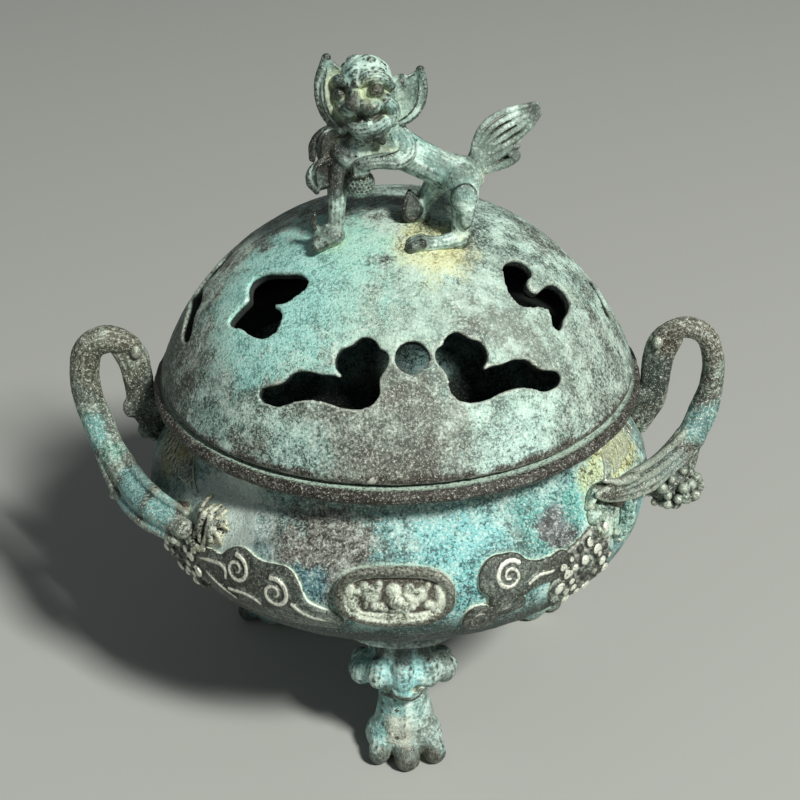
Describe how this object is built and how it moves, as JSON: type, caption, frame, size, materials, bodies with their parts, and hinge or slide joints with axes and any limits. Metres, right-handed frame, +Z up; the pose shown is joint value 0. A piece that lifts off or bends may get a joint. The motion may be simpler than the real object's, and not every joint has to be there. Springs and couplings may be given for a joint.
{
  "type": "lion incense burner",
  "caption": "Footed bronze incense burner with lion-paw feet, loop handles, a cloud-pierced domed lid that lifts off, and a lion with a ball standing on the lid.",
  "frame": {"origin": "on the ground under the bowl's axis, at the middle of the box round the whole burner", "axes": "+Z up along the bowl's axis, -Y towards the front leg and the front medallion, +X towards the handle that is on the right in the picture"},
  "size_m": [0.1432, 0.1138, 0.1518],
  "materials": {
    "patina_bowl": "matt verdigris over cast bronze",
    "patina_leg": "matt verdigris over cast bronze",
    "patina_lid": "matt grey-green verdigris, worn grey at the front",
    "dark_handle": "dark pitted bronze with pale green in the hollows",
    "cream_mask": "pale crust over cast bronze",
    "dark_relief": "dark worn bronze with pale crust in the hollows",
    "lion_bronze": "dark bronze with verdigris and pale crust",
    "rivet_bronze": "dark bronze"
  },
  "bodies": {
    "bowl": {"bowl_shell": "patina_bowl", "leg_front": "patina_leg", "leg_back_left": "patina_leg", "leg_back_right": "patina_leg", "leg_rivets": "rivet_bronze", "handle_left": "dark_handle", "handle_right": "dark_handle", "handle_rivets": "rivet_bronze", "mask_left": "cream_mask", "mask_right": "cream_mask", "medallion_front": "dark_relief", "medallion_back": "dark_relief", "cloud_scrolls_front": "dark_relief", "cloud_scrolls_back": "dark_relief"},
    "lid": {"lid_dome": "patina_lid", "lion_body": "lion_bronze", "lion_head": "lion_bronze", "lion_tail": "lion_bronze", "brocade_ball": "lion_bronze"}
  },
  "joints": [
    {"name": "lid_lift", "type": "slide", "parent": "bowl", "child": "lid", "axis": [0, 0, 1], "range_m": [0, 0.06]}
  ]
}
